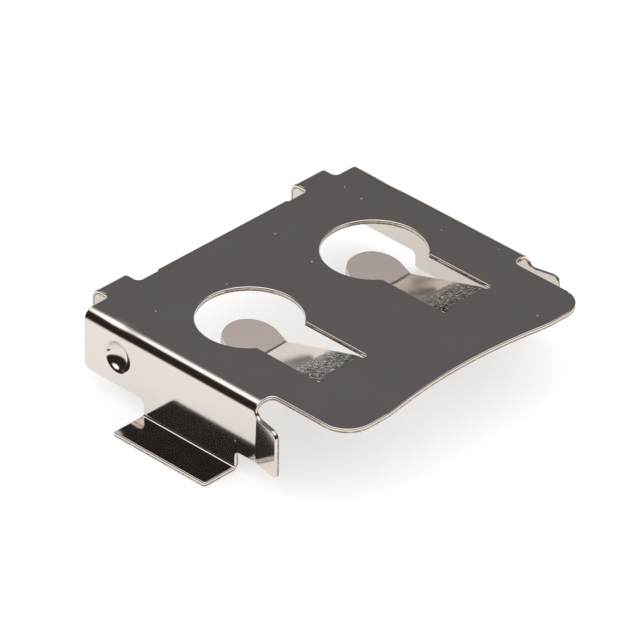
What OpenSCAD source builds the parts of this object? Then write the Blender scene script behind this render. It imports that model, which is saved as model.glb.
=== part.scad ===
// Coin cell holder: a retaining clip blanked and folded from one piece of plated spring sheet.
// It stands on two solder feet. The cell slides in from the front, between the side walls and
// under two spring tongues, until its edge meets the two stop tabs at the rear.
// The origin is the cell's axis at board level. +X is right, +Y is the rear, +Z is up.

/* [Cell] */
// Diameter of the coin cell
cell_d = 20; // [18:0.5:24.5]
// Thickness of the coin cell
cell_t = 3.2; // [2.8:0.1:5]
// Gap between the cell and each side wall
side_gap = 0.35; // [0.1:0.05:0.8]
// Gap between the cell's edge and the stop tabs
stop_gap = 0.25; // [0.05:0.05:0.5]
// Free height between the cell's top face and the plate's underside
headroom = 1.4; // [1:0.1:2.5]

/* [Sheet] */
// Thickness of the sheet
sheet_t = 0.25; // [0.15:0.05:0.4]
// Inside radius of the folds at the plate's edges
fold_r = 0.4; // [0.2:0.05:0.6]

/* [Plate] */
// How far the rear edge stops short of the cell's rear
rear_short = 3.25; // [2.5:0.05:4]
// How far the middle of the rear edge stands out
lip_out = 0.12; // [0.04:0.02:0.3]
// Width of that standing middle
lip_w = 10; // [6:0.5:11]
// How far the nose reaches past the cell's front
nose_over = 1.69; // [0.8:0.01:3]
// Radius of the nose's corners
nose_r = 1.65; // [0.8:0.05:3]
// Depth of the finger hollow in the nose's front edge
hollow_d = 0.56; // [0.2:0.02:0.8]
// Radius of the finger hollow
hollow_r = 33; // [25:1:45]
// Radius that blends the hollow into the front edge
hollow_blend = 6; // [3:0.5:10]

/* [Reliefs] */
// Distance from the cell's axis to the reliefs that part the nose from the side walls
relief_y = 6.13; // [5.5:0.01:7]
// Distance between the nose's side and the fold line
relief_w = 0.7; // [0.5:0.05:1.2]
// Radius in the relief's corner, at the nose
relief_r = 0.4; // [0.2:0.05:0.5]

/* [Keyholes] */
// Distance between the middles of the keyholes
key_pitch = 9.56; // [8:0.02:11]
// Radius of the keyhole's round end
key_r = 2.97; // [2.4:0.01:3.3]
// Width of the keyhole's slot
slot_w = 3.6; // [3:0.1:4.2]
// Distance from the round end's middle to the slot's front end
slot_l = 6.98; // [6:0.02:8]

/* [Tongues] */
// Gap between the slot's sides and the tongue
tongue_gap = 0.3; // [0.2:0.05:0.5]
// Flat length between the slot's end and the fold at the root
tongue_flat = 0.08; // [0.02:0.02:0.5]
// Inside radius of the fold at the root
root_r = 1.25; // [0.4:0.05:2]
// Distance of the crease that presses on the cell in front of the cell's axis
crease_y = 1.41; // [0.8:0.01:2]
// Inside radius of the crease
crease_r = 0.6; // [0.2:0.05:1]
// How far the free crease stands below the cell's top face
preload = 0.17; // [0.05:0.01:0.5]
// Upward tilt of the round tip
tip_tilt = 12; // [4:1:18]
// Radius of the round tip
tip_r = 1.69; // [1.3:0.01:1.9]
// Distance from the crease to the tip's middle
tip_reach = 1.22; // [0.9:0.02:1.5]

/* [Side walls] */
// Height of the wall's lower edge above the board
wall_z = 1.2; // [0.8:0.05:1.5]
// Radius of the wall's lower rear corner
wall_r = 0.45; // [0.1:0.05:0.8]
// Distance of the dimple's middle below the end of the fold
dimple_down = 1.2; // [1.1:0.05:1.6]
// Distance of the dimple's middle from the wall's rear end
dimple_in = 2.54; // [1.6:0.02:4]
// Radius of the dimple's rim
dimple_r = 1; // [0.5:0.05:1.05]
// Depth of the dimple
dimple_d = 0.6; // [0.2:0.05:0.8]

/* [Flared ears] */
// Distance of the ear's upper edge below the end of the fold
ear_down = 0.15; // [0.05:0.05:0.8]
// Straight wall between the relief and the ear's fold
ear_lead = 0.07; // [0.03:0.01:0.5]
// Length of the ear
ear_l = 1.84; // [1.2:0.02:3]
// Angle by which the ear flares out
ear_angle = 12; // [4:1:25]
// Inside radius of the ear's fold
ear_fold_r = 0.4; // [0.2:0.05:1]
// Radius between the relief and the ear's upper edge
ear_web = 0.3; // [0.1:0.05:0.4]
// Radius of the ear's upper front corner
ear_top_r = 0.45; // [0.1:0.05:0.8]
// Radius of the ear's lower front corner
ear_low_r = 0.3; // [0.1:0.05:0.6]

/* [Feet] */
// Length of each foot along the wall
foot_l = 6.9; // [5:0.1:8]
// Distance of the foot's middle in front of the cell's axis
foot_y = 1.26; // [0.8:0.02:1.7]
// How far the foot stands out from the wall
foot_out = 2.27; // [1.2:0.01:3.5]
// Inside radius of the foot's fold
foot_r = 0.3; // [0.15:0.05:0.5]
// Radius of the foot's outer corners
foot_corner = 0.15; // [0.05:0.05:0.5]
// Radius where the foot's stem leaves the wall
stem_r = 0.35; // [0.1:0.05:0.4]

/* [Stop tabs] */
// Angle, from straight back, at which the cell's edge meets the tab's inner side
tab_angle = 40.5; // [36:0.5:43]
// Width of each tab
tab_w = 2.2; // [1.2:0.1:2.6]
// How far the tab reaches below the cell's top face
tab_reach = 1.3; // [0.8:0.1:2.2]
// Radius of the tab's lower corners
tab_r = 0.3; // [0.1:0.05:0.5]
// Radius where the tab leaves the plate
tab_web = 0.3; // [0.1:0.05:0.4]

/* [Hidden] */
$fn = 96;
// edges that would meet only at a computed point are lapped, or kept apart, by a hair
hair = 0.002;
fold_out = fold_r + sheet_t;
height = cell_t + headroom + sheet_t;

// plate: fold lines, edges and the side of the nose
fold_x = cell_d / 2 + side_gap - fold_r;
rear_y = cell_d / 2 - rear_short;
nose_y = cell_d / 2 + nose_over;
nose_x = fold_x - relief_w;

// finger hollow: a long concave arc between two arcs that blend it into the front edge
hollow_cy = hollow_d - nose_y - hollow_r;
blend_cy = hollow_blend - nose_y;
blend_x = sqrt(pow(hollow_r + hollow_blend, 2) - pow(blend_cy - hollow_cy, 2));
hollow_x = blend_x * hollow_r / (hollow_r + hollow_blend);

// stop tabs: their inner faces stand where the round cell's edge reaches their inner sides
tab_x = cell_d / 2 * sin(tab_angle) + tab_w / 2;
tab_fold_y = cell_d / 2 * cos(tab_angle) + stop_gap - fold_r;

// side walls, measured down from the end of the fold
fold_z = height - fold_out;
wall_h = fold_z - wall_z;
stem_h = fold_z - sheet_t - foot_r;
ear_fold_y = relief_y + ear_lead;
ball_r = (pow(dimple_r, 2) + pow(dimple_d, 2)) / (2 * dimple_d);
ball_out = ball_r + sheet_t;

// tongue: the ramp's top is the line from the crease that touches the fold at the root
tongue_w = slot_w - 2 * tongue_gap;
root_out = root_r + sheet_t;
span_y = slot_l - tongue_flat - crease_y;
span_z = headroom + preload;
span = norm([span_y, root_out - span_z]);
ramp_slope = 90 - atan2(root_out - span_z, span_y) - acos(root_out / span);
crease_cut = crease_r * tan((ramp_slope + tip_tilt) / 2);
ramp_l = sqrt(pow(span, 2) - pow(root_out, 2)) - crease_cut;
tip_y = tip_reach - crease_cut;
touch_a = acos(min(1, tip_r / norm([tongue_w / 2, tip_y]))) - atan2(tip_y, tongue_w / 2);

// a leg of flat sheet: the outline lies in x and y, and the outer face at z = 0
module leg() {
    translate([0, 0, -sheet_t]) linear_extrude(sheet_t) children();
}

// a fold away from the outer face, from x0 to x1; its child carries on from the fold's end
module fold_down(angle, r, x0, x1) {
    translate([0, 0, -r - sheet_t]) {
        rotate([0, -90, 0]) rotate_extrude(angle = angle)
            translate([r, -x1]) square([sheet_t, x1 - x0]);
        rotate([-angle, 0, 0]) translate([0, 0, r + sheet_t]) children();
    }
}

// a fold towards the outer face, from x0 to x1; its child carries on from the fold's end
module fold_up(angle, r, x0, x1) {
    translate([0, 0, r]) {
        rotate([0, 90, 0]) rotate_extrude(angle = angle)
            translate([r, x0]) square([sheet_t, x1 - x0]);
        rotate([angle, 0, 0]) translate([0, 0, -r]) children();
    }
}

// the sliver between a square corner at x, y and its rounding arc, on the side sx, sy:
// an inside corner gains it and an outside corner loses it
module corner(x, y, r, sx, sy) {
    translate([x, y]) difference() {
        translate([min(sx, 0) * r, min(sy, 0) * r]) square(r);
        translate([sx * r, sy * r]) circle(r);
    }
}

// the finger hollow, as the area taken from the front edge
module hollow_outline() {
    translate([0, hollow_cy]) circle(hollow_r + hair, $fn = 720);
    for (s = [-1, 1]) difference() {
        translate([s * (hollow_x + blend_x) / 2, -nose_y])
            square([blend_x - hollow_x, 2 * hollow_d], center = true);
        translate([s * blend_x, blend_cy]) circle(hollow_blend, $fn = 360);
    }
}

module keyhole_outline() {
    circle(key_r);
    translate([-slot_w / 2, -slot_l]) square([slot_w, slot_l]);
}

// half of the plate's flat part, right of the middle
module half_plate_outline() {
    difference() {
        union() {
            translate([0, -relief_y]) square([fold_x, relief_y + rear_y]);
            translate([0, -nose_y]) square([nose_x, nose_y - relief_y]);
            corner(nose_x, -relief_y, relief_r, 1, -1);
            translate([0, rear_y]) square([lip_w / 2, lip_out]);
            translate([tab_x - tab_w / 2, rear_y]) square([tab_w, tab_fold_y - rear_y]);
            for (s = [-1, 1]) corner(tab_x + s * tab_w / 2, rear_y, tab_web, s, 1);
        }
        corner(nose_x, -nose_y, nose_r, -1, 1);
        translate([key_pitch / 2, 0]) keyhole_outline();
    }
}

module plate() {
    leg() difference() {
        for (s = [0, 1]) mirror([s, 0]) half_plate_outline();
        hollow_outline();
    }
}

// a spring tongue: flat root, large fold, ramp down, crease on the cell, round tip turned up
module tongue() {
    half = tongue_w / 2;
    translate([0, -slot_l, height]) {
        leg() translate([-half, 0]) square([tongue_w, tongue_flat]);
        translate([0, tongue_flat, 0]) fold_down(ramp_slope, root_r, -half, half) {
            leg() translate([-half, 0]) square([tongue_w, ramp_l]);
            translate([0, ramp_l, 0])
                fold_up(ramp_slope + tip_tilt, crease_r, -half, half) leg() tip_outline();
        }
    }
}

// the tip's straight sides spread from the crease until they touch its round end
module tip_outline() {
    side = [tip_r * cos(touch_a), tip_y + tip_r * sin(touch_a)];
    translate([0, tip_y]) circle(tip_r);
    polygon([[-tongue_w / 2, 0], [tongue_w / 2, 0], side, [-side[0], side[1]]]);
}

// the right wall's outline: x runs forward along the fold and y down from it
module wall_outline() {
    difference() {
        union() {
            translate([-rear_y, 0]) square([rear_y + ear_fold_y, wall_h]);
            translate([foot_y - foot_l / 2, 0]) square([foot_l, stem_h]);
            for (s = [-1, 1]) corner(foot_y + s * foot_l / 2, wall_h, stem_r, s, 1);
            translate([relief_y, min(0, ear_down - ear_web)])
                square([ear_lead, max(ear_web - ear_down, ear_web)]);
        }
        corner(-rear_y, wall_h, wall_r, 1, -1);
    }
}

// the wall with its dimple pressed inwards at full thickness
module dimpled_wall() {
    middle = [dimple_in - rear_y, dimple_down];
    difference() {
        union() {
            leg() wall_outline();
            translate(middle) intersection() {
                translate([0, 0, ball_r - dimple_d]) sphere(ball_out);
                translate([0, 0, -ball_out - sheet_t / 2]) cube(2 * ball_out, center = true);
            }
        }
        translate([middle[0], middle[1], ball_r - dimple_d]) sphere(ball_r);
    }
}

// the ear's outline: x runs up from the end of the wall's fold and y forward along the ear
module ear_outline() {
    low = hair - wall_h;
    difference() {
        union() {
            translate([low, 0]) square([-ear_down - low, ear_l]);
            corner(-ear_down, 0, ear_web, 1, 1);
        }
        corner(-ear_down, ear_l, ear_top_r, -1, -1);
        corner(low, ear_l, ear_low_r, 1, -1);
    }
}

module foot_outline() {
    far = foot_out - foot_r;
    translate([foot_y, 0]) difference() {
        translate([-foot_l / 2, 0]) square([foot_l, far]);
        for (s = [-1, 1]) corner(s * foot_l / 2, far, foot_corner, -s, -1);
    }
}

// the right wall, folded down from the plate, with its flared ear and its foot
module side_wall() {
    translate([fold_x, 0, height]) rotate([0, 0, -90])
        fold_down(90, fold_r, -rear_y, relief_y) {
            dimpled_wall();
            translate([ear_fold_y, 0, 0]) rotate([0, 0, -90])
                fold_up(ear_angle, ear_fold_r, -wall_h, ear_web - ear_down) leg() ear_outline();
            translate([0, stem_h, 0])
                fold_up(90, foot_r, foot_y - foot_l / 2, foot_y + foot_l / 2) leg() foot_outline();
        }
}

// the right stop tab, folded down behind the cell
module stop_tab() {
    tab_h = fold_z - cell_t + tab_reach;
    translate([tab_x, tab_fold_y, height])
        fold_down(90, fold_r, -tab_w / 2, tab_w / 2) leg() difference() {
            translate([-tab_w / 2, 0]) square([tab_w, tab_h]);
            for (s = [-1, 1]) corner(s * tab_w / 2, tab_h, tab_r, -s, -1);
        }
}

module cell_clip() {
    color([0.78, 0.76, 0.73]) union() {
        translate([0, 0, height]) plate();
        for (s = [0, 1]) mirror([s, 0, 0]) {
            translate([key_pitch / 2, 0, 0]) tongue();
            side_wall();
            stop_tab();
        }
    }
}

cell_clip();
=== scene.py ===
"""A coin cell clip folded from plated spring sheet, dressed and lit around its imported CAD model."""

import bpy
import numpy as np
from mathutils import Matrix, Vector
from mathutils.geometry import delaunay_2d_cdt


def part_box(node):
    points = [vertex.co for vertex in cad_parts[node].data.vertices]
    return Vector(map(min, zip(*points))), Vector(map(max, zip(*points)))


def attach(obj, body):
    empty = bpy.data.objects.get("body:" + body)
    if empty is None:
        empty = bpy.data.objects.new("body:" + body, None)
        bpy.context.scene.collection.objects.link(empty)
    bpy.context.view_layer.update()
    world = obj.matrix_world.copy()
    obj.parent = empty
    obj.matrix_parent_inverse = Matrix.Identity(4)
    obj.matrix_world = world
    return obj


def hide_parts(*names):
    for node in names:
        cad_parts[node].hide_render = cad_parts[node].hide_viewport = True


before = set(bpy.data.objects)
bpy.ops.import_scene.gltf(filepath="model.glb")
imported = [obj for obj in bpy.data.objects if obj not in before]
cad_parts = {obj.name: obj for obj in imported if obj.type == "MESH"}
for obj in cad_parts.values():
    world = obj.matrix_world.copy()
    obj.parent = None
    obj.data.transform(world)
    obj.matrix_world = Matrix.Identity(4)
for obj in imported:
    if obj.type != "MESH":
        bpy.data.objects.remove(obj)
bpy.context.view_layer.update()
MM = 0.001

# ---- Camera ----
# A long lens looks down on the clip from its front left corner, a little above a third of the
# way up from level, and is turned by under a degree.
camera_turn = np.radians(-45.931)
camera_rise = np.radians(33.079)
camera_roll = np.radians(0.691)
camera_distance = 437.3 * MM
camera_aim = np.array([-0.262, -0.855, 3.0]) * MM
camera_lens = 456.76

back = np.array(
    [
        np.sin(camera_turn) * np.cos(camera_rise),
        -np.cos(camera_turn) * np.cos(camera_rise),
        np.sin(camera_rise),
    ]
)
level_right = np.array([np.cos(camera_turn), np.sin(camera_turn), 0.0])
level_up = np.cross(back, level_right)
right = np.cos(camera_roll) * level_right + np.sin(camera_roll) * level_up
up = np.cos(camera_roll) * level_up - np.sin(camera_roll) * level_right

camera = bpy.data.objects.new("camera", bpy.data.cameras.new("camera"))
camera.data.lens = camera_lens
camera.data.sensor_width = 36.0
camera.data.clip_start = 0.01
camera.data.clip_end = 20.0
place = Matrix.Identity(4)
for column, axis in enumerate((right, up, back, camera_aim + back * camera_distance)):
    for row in range(3):
        place[row][column] = axis[row]
camera.matrix_world = place
bpy.context.scene.collection.objects.link(camera)
bpy.context.scene.camera = camera
bpy.context.scene.view_settings.view_transform = "Standard"


# ---- Studio ----
# The clip stands on a wide white table in a white room. A soft box hangs overhead and behind,
# and between it and the table the room behind the clip is dark, darkest towards the left.
# Polished metal shows all of that, and nothing else in the scene does. In the metal the table also
# shows painted shade, darker far off towards the left, and a painted glow that keeps it light in the
# clip's shadow.
def node(tree, kind, inputs=None, **settings):
    """A shader node with its settings, and its inputs set to values or linked to sockets."""
    made = tree.nodes.new(kind)
    for name, value in settings.items():
        setattr(made, name, value)
    for key, value in (inputs or {}).items():
        if isinstance(value, bpy.types.NodeSocket):
            tree.links.new(value, made.inputs[key])
        else:
            made.inputs[key].default_value = value
    return made


def ramp(tree, factor, stops):
    """A colour ramp over factor; stops are (position, (r, g, b))."""
    made = node(tree, "ShaderNodeValToRGB", {"Fac": factor})
    points = made.color_ramp.elements
    while len(points) < len(stops):
        points.new(0.5)
    for point, (position, colour) in zip(points, stops):
        point.position = position
        point.color = (*colour, 1.0)
    return made.outputs["Color"]


world = bpy.data.worlds.new("studio")
bpy.context.scene.world = world
world.use_nodes = True
tree = world.node_tree
tree.nodes.clear()
direction = node(tree, "ShaderNodeTexCoord").outputs["Generated"]
parts = node(tree, "ShaderNodeSeparateXYZ", {"Vector": direction})
ramp_foot = -0.2
height = node(
    tree,
    "ShaderNodeMapRange",
    {"Value": parts.outputs["Z"], "From Min": ramp_foot, "From Max": 1.0},
).outputs["Result"]


def at(sine):
    """The ramp position of a height above the horizon, given as its sine: the share of the way
    from the ramp's foot to straight up."""
    return (sine - ramp_foot) / (1.0 - ramp_foot)


right_room = ramp(
    tree,
    height,
    [
        (at(-0.05), (0.90, 0.87, 0.83)),
        (at(0.05), (0.50, 0.48, 0.45)),
        (at(0.14), (0.34, 0.325, 0.30)),
        (at(0.20), (0.11, 0.104, 0.098)),
        (at(0.60), (0.129, 0.123, 0.126)),
        (at(0.72), (0.43, 0.395, 0.37)),
        (at(0.755), (0.58, 0.53, 0.50)),
        (at(0.785), (1.3, 1.3, 1.3)),
    ],
)
left_room = ramp(
    tree,
    height,
    [
        (at(-0.05), (0.60, 0.55, 0.50)),
        (at(0.02), (0.10, 0.070, 0.05)),
        (at(0.10), (0.020, 0.016, 0.014)),
        (at(0.66), (0.020, 0.016, 0.014)),
        (at(0.745), (0.10, 0.065, 0.045)),
        (at(0.785), (1.3, 1.3, 1.3)),
    ],
)
sideways = node(
    tree,
    "ShaderNodeVectorMath",
    {0: direction, 1: (0.93, 0.36, 0.0)},
    operation="DOT_PRODUCT",
).outputs["Value"]
side = node(
    tree,
    "ShaderNodeMapRange",
    {"Value": sideways, "From Min": -0.1, "From Max": 0.5},
    interpolation_type="SMOOTHSTEP",
).outputs["Result"]
room = node(
    tree,
    "ShaderNodeMix",
    {"Factor": side, 6: left_room, 7: right_room},
    data_type="RGBA",
).outputs[2]
rays = node(tree, "ShaderNodeLightPath")
plain = node(tree, "ShaderNodeBackground", {"Color": (1.0, 1.0, 1.0, 1.0), "Strength": 1.0})
dark_room = node(tree, "ShaderNodeBackground", {"Color": room, "Strength": 1.0})
seen = node(
    tree,
    "ShaderNodeMixShader",
    {
        0: rays.outputs["Is Glossy Ray"],
        1: plain.outputs["Background"],
        2: dark_room.outputs["Background"],
    },
)
node(tree, "ShaderNodeOutputWorld", {"Surface": seen.outputs["Shader"]})

floor_mesh = bpy.data.meshes.new("table_top")
reach = 3.0
floor_mesh.from_pydata(
    [(-reach, -reach, 0.0), (reach, -reach, 0.0), (reach, reach, 0.0), (-reach, reach, 0.0)],
    [],
    [(0, 1, 2, 3)],
)
floor = bpy.data.objects.new("table_top", floor_mesh)
bpy.context.scene.collection.objects.link(floor)
floor_white = bpy.data.materials.new("white_table")
floor_white.use_nodes = True
tree = floor_white.node_tree
tree.nodes.clear()
paint_white, camera_glow, painted_glow_strength, glow_paint_dimming = 0.74, 0.42, 0.60, 0.56
paint = node(tree, "ShaderNodeBsdfDiffuse", {"Color": (*[paint_white] * 3, 1.0)})
table_rays = node(tree, "ShaderNodeLightPath")
from_clip = node(tree, "ShaderNodeTexCoord").outputs["Object"]
distance = node(tree, "ShaderNodeVectorMath", {0: from_clip}, operation="LENGTH").outputs["Value"]
far = node(
    tree,
    "ShaderNodeMapRange",
    {"Value": distance, "From Min": 20 * MM, "From Max": 200 * MM},
).outputs["Result"]
# Painted shade, seen only in the metal: towards the left the table darkens with distance from the
# clip, to brown and nearly black.
shade = ramp(
    tree,
    far,
    [
        (0.0, (1.0, 0.98, 0.95)),
        (0.12, (0.72, 0.60, 0.50)),
        (0.30, (0.22, 0.15, 0.11)),
        (1.0, (0.05, 0.035, 0.03)),
    ],
)
across = node(tree, "ShaderNodeSeparateXYZ", {"Vector": from_clip}).outputs["X"]
shaded_leftwards = node(
    tree,
    "ShaderNodeMapRange",
    {"Value": across, "From Min": -12 * MM, "From Max": 2 * MM, "To Min": 1.0, "To Max": 0.0},
).outputs["Result"]
painted_table_shade = node(
    tree,
    "ShaderNodeMix",
    {"Factor": shaded_leftwards, 6: (1.0, 0.98, 0.95, 1.0), 7: shade},
    data_type="RGBA",
).outputs[2]
glow = node(
    tree,
    "ShaderNodeMath",
    {0: table_rays.outputs["Is Camera Ray"], 1: camera_glow},
    operation="MULTIPLY",
)
lift = node(
    tree, "ShaderNodeEmission", {"Color": (1.0, 1.0, 1.0, 1.0), "Strength": glow.outputs[0]}
)
bare = node(tree, "ShaderNodeAddShader", {0: paint.outputs[0], 1: lift.outputs[0]})
# Painted glow: to glossy rays the table glows in that painted colour over dimmed paint, so it stays
# light in the clip's shadow.
painted_glow = node(tree, "ShaderNodeEmission", {"Color": painted_table_shade, "Strength": painted_glow_strength})
dimmed_table_shade = node(
    tree,
    "ShaderNodeMix",
    {"Factor": glow_paint_dimming, 6: painted_table_shade, 7: (0.0, 0.0, 0.0, 1.0)},
    data_type="RGBA",
).outputs[2]
dimmed_shade_paint = node(tree, "ShaderNodeBsdfDiffuse", {"Color": dimmed_table_shade})
painted_table_for_metal = node(tree, "ShaderNodeAddShader", {0: dimmed_shade_paint.outputs[0], 1: painted_glow.outputs[0]})
both = node(
    tree,
    "ShaderNodeMixShader",
    {0: table_rays.outputs["Is Glossy Ray"], 1: bare.outputs[0], 2: painted_table_for_metal.outputs[0]},
)
node(tree, "ShaderNodeOutputMaterial", {"Surface": both.outputs[0]})
floor.data.materials.append(floor_white)

# ---- The clip ----
# One piece of spring sheet, blanked and folded in a die, then barrel plated with bright nickel
# all over, its cut edges included. It is made here as it is in the press: a flat blank with its
# two keyholes cut, the rim of every cut rolled over a little, and then folded.
sheet = 0.25
half_sheet = sheet / 2
lowest, highest = (np.array(corner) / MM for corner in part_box("cell_clip"))
top_z = highest[2]

fold_x, fold_radius = 9.95, 0.4
rear_y, nose_y, nose_x, relief_y = 6.75, -lowest[1], 9.25, 6.13
wall_high, stem_high = 3.0, 3.8
foot_middle, foot_long, foot_radius, foot_flat = -1.26, 6.9, 0.15, 2.12
ear_start, ear_radius, ear_long, ear_down, ear_angle = -6.2, 0.4, 1.84, 0.15, np.radians(12)
tab_middle, tab_wide, tab_fold_y, tab_high = 7.594, 2.2, 7.454, 2.3
hollow_deep, hollow_radius, hollow_blend = 0.56, 33.0, 6.0
key_x, key_radius, slot_wide, slot_long = 4.78, 2.97, 3.6, 6.98
tongue_wide, tongue_flat, root_radius, crease_radius = 3.0, 0.08, 1.25, 0.6
crease_y, crease_drop, tip_tilt = 1.41, 1.57, np.radians(12)
tip_radius, tip_reach = 1.69, 1.22
dimple_y, dimple_low, dimple_radius, dimple_deep, dimple_soft = 4.21, 1.2, 1.0, 0.6, 0.03
dimple_reach = 1.35 * dimple_radius
drawn_deep, drawn_high, drawn_wide, drawn_at = 0.03, 0.3, 1.1, 0.75
slot_margin, round_margin = 0.05, 0.3
lip_x, lip_slant, lip_out = 5.0, 0.06, 0.12

root_outer = root_radius + sheet
run = slot_long - tongue_flat - crease_y
span = np.hypot(run, root_outer - crease_drop)
slope = np.pi / 2 - np.arctan2(root_outer - crease_drop, run) - np.arccos(root_outer / span)
crease_cut = crease_radius * np.tan((slope + tip_tilt) / 2)
ramp_long = np.sqrt(span**2 - root_outer**2) - crease_cut
tip_y = tip_reach - crease_cut

quarter = np.pi / 2
fold_arc = (fold_radius + half_sheet) * quarter
foot_arc = (foot_radius + half_sheet) * quarter
ear_arc = (ear_radius + half_sheet) * ear_angle
root_arc = (root_radius + half_sheet) * slope
crease_arc = (crease_radius + half_sheet) * (slope + tip_tilt)
wall_edge = fold_x + fold_arc
foot_end = wall_edge + stem_high + foot_arc + foot_flat
ear_end = ear_start - ear_arc - ear_long
tongue_start = -slot_long + tongue_flat
tip_start = tongue_start + root_arc + ramp_long + crease_arc


def folded(length, runs):
    """Where a strip's middle gets to after a length of it: how far along, how far down, and its
    heading below level. Each run is a length and the angle it turns down through; a turning run
    is an arc, along = R (sin b - sin a) and down = R (cos a - cos b), and the last run has no end."""
    along, down = np.zeros_like(length), np.zeros_like(length)
    heading = np.zeros_like(length)
    angle = 0.0
    for order, (reach, turn) in enumerate(runs):
        part = np.maximum(length, 0.0) if order == len(runs) - 1 else np.clip(length, 0.0, reach)
        if turn:
            bend = reach / turn
            end = angle + part / bend
            along = along + bend * (np.sin(end) - np.sin(angle))
            down = down + bend * (np.cos(angle) - np.cos(end))
            heading = heading + part / bend
        else:
            along = along + part * np.cos(angle)
            down = down + part * np.sin(angle)
        angle += turn
        length = length - reach
    return along, down, heading


wing_runs = [(fold_arc, quarter), (stem_high, 0.0), (foot_arc, -quarter), (0.0, 0.0)]
tab_runs = [(fold_arc, quarter), (0.0, 0.0)]
ear_runs = [(ear_arc, ear_angle), (0.0, 0.0)]
tongue_runs = [(root_arc, slope), (ramp_long, 0.0), (crease_arc, -slope - tip_tilt), (0.0, 0.0)]


def pressed_in(down, v):
    """How deep the sheet is pressed in at a distance down the wall, and how that grows with down
    and with v. The dimple is a ball's cap with a soft rim: s times the logarithm of 1 + e to the
    power cap / s. Above it, pressing leaves a shallow bell in the fold, e to the power minus the
    squares of the two distances, each over the bell's own reach."""
    below, beside = down - dimple_low, v - dimple_y
    from_middle = np.hypot(below, beside)
    ball = (dimple_radius**2 + dimple_deep**2) / (2 * dimple_deep)
    level = np.sqrt(np.maximum(ball**2 - from_middle**2, 1e-2))
    depth = level - (ball - dimple_deep)
    share = 1 / (1 + np.exp(-depth / dimple_soft))
    near = from_middle < dimple_reach
    cap = np.where(near, dimple_soft * np.logaddexp(0.0, depth / dimple_soft), 0.0)
    steep = np.where(near, -share / level, 0.0)
    above = down + fold_arc * drawn_at
    bell = drawn_deep * np.exp(-((above / drawn_high) ** 2) - (beside / drawn_wide) ** 2)
    lean_down = steep * below - 2 * bell * above / drawn_high**2
    lean_v = steep * beside - 2 * bell * beside / drawn_wide**2
    return cap + bell, lean_down, lean_v


def place_in_clip(u, v):
    """The folded middle of the sheet over blank point u, v, and the unit vectors that u, v and
    the sheet's upper face have there. Wings turn about Y, ears then about Z, tabs and tongues
    about X, and a dimple goes inwards by the depth of a ball's cap with a soft rim."""
    side, away = np.sign(u + 1e-12), np.abs(u)
    zero, one = np.zeros_like(u), np.ones_like(u)
    middle = np.stack([u, v, np.full_like(u, top_z - half_sheet)], 1)
    along_u = np.stack([one, zero, zero], 1)
    along_v = np.stack([zero, one, zero], 1)
    face = np.stack([zero, zero, one], 1)

    wing = away > fold_x
    across, down, heading = folded(away - fold_x, wing_runs)
    x = fold_x + across
    pressed, lean_u, lean_v = pressed_in(away - wall_edge, v)

    ear = wing & (v < ear_start)
    forward, outward, turn = folded(ear_start - v, ear_runs)
    x = np.where(ear, wall_edge - fold_arc + fold_radius + half_sheet + outward, x)
    heading = np.where(ear, quarter, heading)
    z = np.where(ear, top_z - fold_radius - sheet - (away - wall_edge), top_z - half_sheet - down)
    y = np.where(ear, ear_start - forward, v)
    turn = np.where(ear, turn, 0.0)
    e_u = np.stack([side * np.cos(heading) * np.cos(turn), zero, -np.sin(heading)], 1)
    e_v = np.stack([-side * np.sin(turn), np.cos(turn), zero], 1)
    n = np.stack(
        [side * np.sin(heading) * np.cos(turn), np.sin(heading) * np.sin(turn), np.cos(heading)], 1
    )
    middle = np.where(wing[:, None], np.stack([side * x, y, z], 1), middle)
    along_u = np.where(wing[:, None], e_u * side[:, None], along_u)
    along_v = np.where(wing[:, None], e_v, along_v)
    face = np.where(wing[:, None], n, face)
    dented = face + lean_u[:, None] * along_u * side[:, None] + lean_v[:, None] * along_v
    middle = middle - face * pressed[:, None]
    face = dented / np.linalg.norm(dented, axis=1)[:, None]

    def turned_about_x(chosen, start, runs):
        """Folds the chosen points along v from start: ahead and drop as folded gives them."""
        nonlocal middle, along_v, face
        ahead, drop, tilt = folded(v - start, runs)
        spot = np.stack([u, start + ahead, top_z - half_sheet - drop], 1)
        middle = np.where(chosen[:, None], spot, middle)
        ahead_v = np.stack([zero, np.cos(tilt), -np.sin(tilt)], 1)
        upper = np.stack([zero, np.sin(tilt), np.cos(tilt)], 1)
        along_v = np.where(chosen[:, None], ahead_v, along_v)
        face = np.where(chosen[:, None], upper, face)

    turned_about_x(~wing & (v > tab_fold_y), tab_fold_y, tab_runs)
    aside = np.abs(away - key_x)
    in_slot = (aside < slot_wide / 2 - slot_margin) & (v > tongue_start) & (v < 0)
    in_round = np.hypot(aside, v) < key_radius - round_margin
    turned_about_x(~wing & (in_slot | in_round), tongue_start, tongue_runs)
    return middle, along_u, along_v, face


def numbered(counts):
    """For runs of these counts laid end to end: which run each item is in, and its place in it."""
    run = np.repeat(np.arange(len(counts)), counts)
    return run, np.arange(len(run)) - (np.cumsum(counts) - counts)[run]


small_arc_points, large_arc_points = 9, 25


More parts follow.
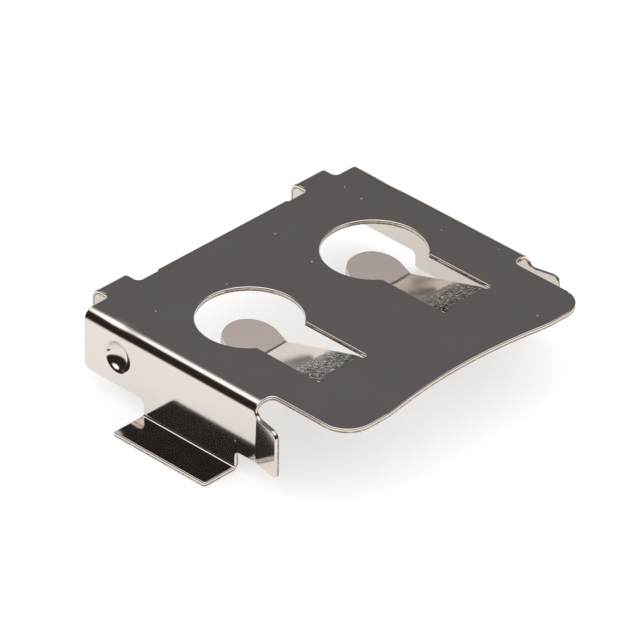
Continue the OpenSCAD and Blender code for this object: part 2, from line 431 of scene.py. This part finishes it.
def rounded(corners, step=0.09):
    """A closed outline through corners (u, v, radius). Each corner's arc has its centre on the
    corner's bisector, at the radius over the sine of half the angle, so that it touches both
    sides. The sides between are then divided evenly, to at most the step."""
    points, radii = corners[:, :2], corners[:, 2]
    before, after = np.roll(points, 1, 0) - points, np.roll(points, -1, 0) - points
    before /= np.linalg.norm(before, axis=1)[:, None]
    after /= np.linalg.norm(after, axis=1)[:, None]
    half = np.arccos(np.clip((before * after).sum(1), -1, 1)) / 2
    sharp = (radii == 0) | (half > quarter - 0.01)
    radii = np.where(sharp, 0.0, radii)
    bisector = before + after
    bisector /= np.where(sharp, 1.0, np.linalg.norm(bisector, axis=1))[:, None]
    centre = points + bisector * (radii / np.sin(half))[:, None]
    start = points + before * (radii / np.tan(half))[:, None] - centre
    end = points + after * (radii / np.tan(half))[:, None] - centre
    cross = start[:, 0] * end[:, 1] - start[:, 1] * end[:, 0]
    sweep = np.arctan2(cross, (start * end).sum(1))
    square = np.stack([-start[:, 1], start[:, 0]], 1)
    arc_points = np.where(radii < 1, small_arc_points, large_arc_points)
    arc_points = np.where(sharp, 1, arc_points)
    corner, order = numbered(arc_points)
    turn = (order * (sweep / np.maximum(arc_points - 1, 1))[corner])[:, None]
    outline = centre[corner] + np.cos(turn) * start[corner] + np.sin(turn) * square[corner]

    ahead = np.roll(outline, -1, 0) - outline
    gap = np.linalg.norm(ahead, axis=1)
    pieces = np.where(gap > 1e-6, np.maximum(1, np.ceil(gap / step)), 0).astype(int)
    side, order = numbered(pieces)
    return outline[side] + ahead[side] * (order * (1.0 / pieces[side]))[:, None]


def rim_normals(outline):
    """The direction out of the sheet at each outline point, square to its two neighbours' chord
    where the outline runs anticlockwise round the material."""
    ahead = np.roll(outline, -1, 0) - outline
    ahead /= np.linalg.norm(ahead, axis=1)[:, None]
    chord = ahead + np.roll(ahead, 1, 0)
    chord /= np.linalg.norm(chord, axis=1)[:, None]
    return np.stack([chord[:, 1], -chord[:, 0]], 1)


hollow_cy = hollow_deep - nose_y - hollow_radius
blend_cy = hollow_blend - nose_y
blend_x = np.sqrt((hollow_radius + hollow_blend) ** 2 - (blend_cy - hollow_cy) ** 2)
hollow_x = blend_x * hollow_radius / (hollow_radius + hollow_blend)
front_x = np.arange(0.0, blend_x, 0.25)
front_y = np.where(
    front_x < hollow_x,
    hollow_cy + np.sqrt(hollow_radius**2 - front_x**2),
    blend_cy - np.sqrt(np.maximum(hollow_blend**2 - (front_x - blend_x) ** 2, 0.0)),
)
ear_top, wall_low = wall_edge + ear_down, wall_edge + wall_high
front = np.stack([front_x, front_y, np.zeros_like(front_x)], 1)
right_corners = [
    (nose_x, -nose_y, 1.65),
    (nose_x, -relief_y, 0.4),
    (ear_top, -relief_y, 0.48),
    (ear_top, ear_end, 0.45),
    (wall_low, ear_end, 0.3),
    (wall_low, foot_middle - foot_long / 2, 0.35),
    (foot_end, foot_middle - foot_long / 2, 0.15),
    (foot_end, foot_middle + foot_long / 2, 0.15),
    (wall_low, foot_middle + foot_long / 2, 0.35),
    (wall_low, rear_y, 0.45),
    (tab_middle + tab_wide / 2, rear_y, 0.3),
    (tab_middle + tab_wide / 2, tab_fold_y + fold_arc + tab_high, 0.3),
    (tab_middle - tab_wide / 2, tab_fold_y + fold_arc + tab_high, 0.3),
    (tab_middle - tab_wide / 2, rear_y, 0.3),
    (lip_x, rear_y, 0.06),
    (lip_x - lip_slant, rear_y + lip_out, 0.09),
]
right_half = np.concatenate([front[1:], right_corners])
outer = rounded(np.concatenate([front[:1], right_half, right_half[::-1] * (-1, 1, 1)]))

slot_side = slot_wide / 2
mouth = np.arctan2(-np.sqrt(key_radius**2 - slot_side**2), slot_side)
ring = np.linspace(mouth, np.pi - mouth, 90)
away_tip = np.hypot(tongue_wide / 2, tip_y)
touch = np.arccos(min(1.0, tip_radius / away_tip)) - np.arctan2(tip_y, tongue_wide / 2)
dome = np.linspace(touch, np.pi - touch, 60)


def arc(radius, middle_v, turn):
    """Sharp corners at the angles turn on a circle of the radius about (0, middle_v)."""
    around = [radius * np.cos(turn), middle_v + radius * np.sin(turn), np.zeros_like(turn)]
    return np.stack(around, 1)


into_slot = [
    (-slot_side, -slot_long, 0.1),
    (-tongue_wide / 2, -slot_long, 0.1),
    (-tongue_wide / 2, tip_start, 0.3),
]
round_tip = arc(tip_radius, tip_start + tip_y, dome[::-1])
out_of_slot = [(-x, y, r) for x, y, r in reversed(into_slot)]
key_cut = np.concatenate([arc(key_radius, 0.0, ring), into_slot, round_tip, out_of_slot])
keyhole = rounded(key_cut)[::-1]
loops = [outer, *[keyhole + (side * key_x, 0.0) for side in (-1, 1)]]

die_roll, burr = 0.07, 0.02
edge_turn = np.linspace(0, quarter, 7)
section = [
    (die_roll * (1 - np.sin(t)), half_sheet - die_roll * (1 - np.cos(t)), t, 0.0) for t in edge_turn
]
section += [(0.0, -0.01, quarter, 0.0), (0.0, -0.02, quarter, 1.0), (0.0, -0.09, quarter, 1.0)]
section += [
    (burr * (1 - np.cos(t)), -half_sheet + burr * (1 - np.sin(t)), quarter + t, 0.6 - 0.3 * t)
    for t in edge_turn[::3]
]


def rows_and_columns(us, vs):
    """Every crossing of the lines at us with the lines at vs, as one list of blank points."""
    u, v = np.meshgrid(us, vs)
    return np.stack([u.ravel(), v.ravel()], 1)


rows = [
    rows_and_columns(
        np.append(fold_x - np.array([0.45, 0.3, 0.15]), fold_x + fold_arc * np.linspace(0, 1, 13)),
        np.arange(-5.9, 6.6, 0.2),
    ),
    rows_and_columns(
        wall_edge + stem_high + foot_arc * np.linspace(0, 1, 9), np.arange(-4.5, 2.1, 0.25)
    ),
    rows_and_columns(np.arange(11.1, 13.7, 0.25), ear_start - ear_arc * np.linspace(0, 1, 4)),
    rows_and_columns(np.arange(6.7, 8.6, 0.2), tab_fold_y + fold_arc * np.linspace(0, 1, 11)),
    rows_and_columns(
        key_x + np.linspace(-1.4, 1.4, 15), tongue_start + root_arc * np.linspace(0, 1, 7)
    ),
    rows_and_columns(
        key_x + np.linspace(-1.4, 1.4, 15), tip_start - crease_arc * np.linspace(0, 1, 7)
    ),
]
rings = np.linspace(0.05, dimple_reach, 27)
spokes = np.linspace(0, 2 * np.pi, 48, endpoint=False)
radius, spoke = (grid.ravel() for grid in np.meshgrid(rings, spokes))
dimple_points = np.stack(
    [wall_edge + dimple_low + radius * np.cos(spoke), dimple_y + radius * np.sin(spoke)], 1
)
fold_points = np.concatenate(rows)
from_dimple = np.hypot(
    fold_points[:, 0] - wall_edge - dimple_low, fold_points[:, 1] - dimple_y
)
outside_dimple = from_dimple >= dimple_reach + 0.01
right_points = np.concatenate([fold_points[outside_dimple], dimple_points])


def inside(points, loop):
    """Whether each point is inside the closed loop: a line to its right crosses it an odd number
    of times."""
    p, q = loop, np.roll(loop, -1, 0)
    x, y = points[:, :1], points[:, 1:]
    spans = (p[:, 1] > y) != (q[:, 1] > y)
    rise = np.where(q[:, 1] == p[:, 1], 1.0, q[:, 1] - p[:, 1])
    crossing = p[:, 0] + (y - p[:, 1]) / rise * (q[:, 0] - p[:, 0])
    return (spans & (x < crossing)).sum(1) % 2 == 1


normals = [rim_normals(loop) for loop in loops]
inset = [loop - normal * die_roll for loop, normal in zip(loops, normals)]
rim_points = np.concatenate(inset)
inner = np.concatenate([right_points, right_points * (-1, 1)])
room_in = inside(inner, inset[0]) & ~inside(inner, inset[1]) & ~inside(inner, inset[2])
rim_gap = np.hypot(inner[:, :1] - rim_points[:, 0], inner[:, 1:] - rim_points[:, 1]).min(1)
apart = rim_gap > 0.03
inner = inner[room_in & apart]
flat = np.concatenate([rim_points, inner])
starts = np.cumsum([0, *[len(loop) for loop in loops]])
following = np.concatenate(
    [a + (np.arange(b - a) + 1) % (b - a) for a, b in zip(starts[:-1], starts[1:])]
)
edges = np.stack([np.arange(len(rim_points)), following], 1).tolist()
found = delaunay_2d_cdt(flat.tolist(), edges, [], 0, 1e-9)
spread = np.array(found[0])
triangles = np.array(found[2])
centres = spread[triangles].mean(1)
kept = inside(centres, inset[0]) & ~inside(centres, inset[1]) & ~inside(centres, inset[2])
triangles = triangles[kept]
a, b, c = (spread[triangles[:, k]] for k in range(3))
spin = (b[:, 0] - a[:, 0]) * (c[:, 1] - a[:, 1]) - (b[:, 1] - a[:, 1]) * (c[:, 0] - a[:, 0])
triangles[spin < 0] = triangles[spin < 0][:, ::-1]

# The mesher keeps its points in the order given, the rims' first.
rim_place = np.arange(len(rim_points))
rim_out = np.concatenate(normals)
rim_line = np.concatenate(loops)
count = len(spread)


def sheet_points(uv, out, height, tilt):
    """Points at a height over the sheet's middle, and their normals, tilted from the upper face
    towards the outline's own outward direction."""
    middle, e_u, e_v, n = place_in_clip(uv[:, 0], uv[:, 1])
    outwards = out[:, :1] * e_u + out[:, 1:] * e_v
    return middle + n * height, np.cos(tilt) * n + np.sin(tilt) * outwards


none = np.zeros((count, 2))
top, top_normal = sheet_points(spread, none, half_sheet, 0.0)
lower_flat = spread.copy()
lower_flat[rim_place] = rim_line - rim_out * section[-1][0]
bottom, bottom_normal = sheet_points(lower_flat, none, -half_sheet, np.pi)
points, point_normals, blank_uv = [top, bottom], [top_normal, bottom_normal], [spread, lower_flat]
ring_index = [rim_place]
torn_face = [np.zeros(2 * count)]
for order, (inward, level, tilt, torn) in enumerate(section[1:-1]):
    line = rim_line - rim_out * inward
    ring_points, ring_normals = sheet_points(line, rim_out, level, tilt)
    ring_index.append(2 * count + order * len(line) + np.arange(len(line)))
    points.append(ring_points)
    point_normals.append(ring_normals)
    blank_uv.append(line)
    torn_face.append(np.full(len(line), torn))
ring_index.append(count + rim_place)

faces = triangles.tolist() + (triangles[:, ::-1] + count).tolist()
for upper, lower in zip(ring_index, ring_index[1:]):
    faces += np.stack([upper, lower, lower[following], upper[following]], 1).tolist()

shell = bpy.data.meshes.new("folded_clip")
shell.from_pydata(np.concatenate(points) * MM, [], faces)
shell.validate()
shell.shade_smooth()
flat_place = np.concatenate(blank_uv)
uv = shell.uv_layers.new(name="blank")
corner_vertex = np.zeros(len(shell.loops), np.int32)
shell.loops.foreach_get("vertex_index", corner_vertex)
uv.data.foreach_set("uv", (flat_place[corner_vertex] * 0.02 + 0.5).astype(np.float32).ravel())
torn_mark = shell.attributes.new("torn_face", "FLOAT", "POINT")
torn_mark.data.foreach_set("value", np.concatenate(torn_face).astype(np.float32))
shell.normals_split_custom_set_from_vertices(np.concatenate(point_normals))
clip = bpy.data.objects.new("folded_clip", shell)
bpy.context.scene.collection.objects.link(clip)

nickel = bpy.data.materials.new("bright_nickel")
nickel.use_nodes = True
tree = nickel.node_tree
tree.nodes.clear()
spot = node(tree, "ShaderNodeTexCoord").outputs["Object"]
where = node(tree, "ShaderNodeSeparateXYZ", {"Vector": spot})


def within(tree, value, low, high, soft):
    """1 where value is between low and high, fading to 0 over the distance soft."""
    rise = node(
        tree,
        "ShaderNodeMapRange",
        {"Value": value, "From Min": low - soft, "From Max": low},
    ).outputs["Result"]
    fall = node(
        tree,
        "ShaderNodeMapRange",
        {"Value": value, "From Min": high, "From Max": high + soft, "To Min": 1.0, "To Max": 0.0},
    ).outputs["Result"]
    return node(tree, "ShaderNodeMath", {0: rise, 1: fall}, operation="MULTIPLY").outputs[0]


def times(tree, first, second):
    """The product of two values."""
    return node(tree, "ShaderNodeMath", {0: first, 1: second}, operation="MULTIPLY").outputs[0]


# The two tongues, and the stretch of each where its root fold has drawn the plating rough; that
# stretch is also painted darker, as painted shade in the fold.
outward = node(tree, "ShaderNodeMath", {0: where.outputs["X"]}, operation="ABSOLUTE").outputs[0]
springs = times(
    tree,
    within(tree, outward, 3.1 * MM, 6.5 * MM, 0.05 * MM),
    within(tree, where.outputs["Y"], -7.1 * MM, -1.4 * MM, 0.2 * MM),
)
springs = times(tree, springs, within(tree, where.outputs["Z"], 2.6 * MM, 4.83 * MM, 0.02 * MM))
rough_shaded_roots = times(tree, springs, within(tree, where.outputs["Y"], -7.0 * MM, -5.3 * MM, 0.8 * MM))

cloud = node(
    tree, "ShaderNodeTexNoise", {"Vector": spot, "Scale": 260.0, "Detail": 4.0}
).outputs["Fac"]
tone = ramp(tree, cloud, [(0.3, (0.765, 0.725, 0.69)), (0.7, (0.80, 0.76, 0.725))])
torn = node(
    tree, "ShaderNodeAttribute", attribute_name="torn_face", attribute_type="GEOMETRY"
).outputs["Fac"]
streaks = node(
    tree, "ShaderNodeTexNoise", {"Vector": spot, "Scale": 5000.0, "Detail": 3.0}
).outputs["Fac"]
# The torn band low on each cut face is coloured dark brown, with fine streaks.
torn_band_brown = ramp(tree, streaks, [(0.35, (0.20, 0.13, 0.09)), (0.65, (0.52, 0.40, 0.31))])
skin = node(
    tree, "ShaderNodeMix", {"Factor": torn, 6: tone, 7: torn_band_brown}, data_type="RGBA"
).outputs[2]
grain = node(
    tree, "ShaderNodeTexNoise", {"Vector": spot, "Scale": 9000.0, "Detail": 3.0}
).outputs["Fac"]
polish = node(
    tree,
    "ShaderNodeMapRange",
    {"Value": grain, "From Min": 0.3, "From Max": 0.7, "To Min": 0.08, "To Max": 0.12},
).outputs["Result"]
gloss = node(tree, "ShaderNodeMath", {0: springs, 1: 0.04, 2: polish}, operation="MULTIPLY_ADD")
gloss = node(
    tree, "ShaderNodeMath", {0: torn, 1: 0.25, 2: gloss.outputs[0]}, operation="MULTIPLY_ADD"
)
peel = node(
    tree, "ShaderNodeTexNoise", {"Vector": spot, "Scale": 5500.0, "Detail": 2.0, "Roughness": 0.6}
).outputs["Fac"]
peel_bump = node(
    tree, "ShaderNodeBump", {"Height": peel, "Strength": rough_shaded_roots, "Distance": 0.2 * MM}
)
# Crazed plating on the tongue roots, multiplied in very dark: partly the crazed grain itself, partly
# painted shade in the root folds.
crazed_and_shaded = ramp(
    tree, peel, [(0.40, (0.06, 0.06, 0.06)), (0.52, (0.20, 0.20, 0.195)), (0.64, (0.75, 0.74, 0.72))]
)
skin = node(
    tree,
    "ShaderNodeMix",
    {"Factor": rough_shaded_roots, 6: skin, 7: crazed_and_shaded},
    data_type="RGBA",
    blend_type="MULTIPLY",
).outputs[2]
cells = node(tree, "ShaderNodeTexVoronoi", {"Vector": spot, "Scale": 700.0})
speck = node(
    tree,
    "ShaderNodeMapRange",
    {
        "Value": cells.outputs["Distance"],
        "From Min": 0.01,
        "From Max": 0.04,
        "To Min": 1.0,
        "To Max": 0.0,
    },
).outputs["Result"]
speck_bump = node(
    tree,
    "ShaderNodeBump",
    {
        "Height": speck,
        "Strength": 0.8,
        "Distance": 0.03 * MM,
        "Normal": peel_bump.outputs["Normal"],
    },
)
metal = node(
    tree,
    "ShaderNodeBsdfPrincipled",
    {
        "Base Color": skin,
        "Metallic": 1.0,
        "Roughness": gloss.outputs[0],
        "Normal": speck_bump.outputs["Normal"],
    },
)
node(tree, "ShaderNodeOutputMaterial", {"Surface": metal.outputs["BSDF"]})
clip.data.materials.append(nickel)
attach(clip, "root")
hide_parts("cell_clip")
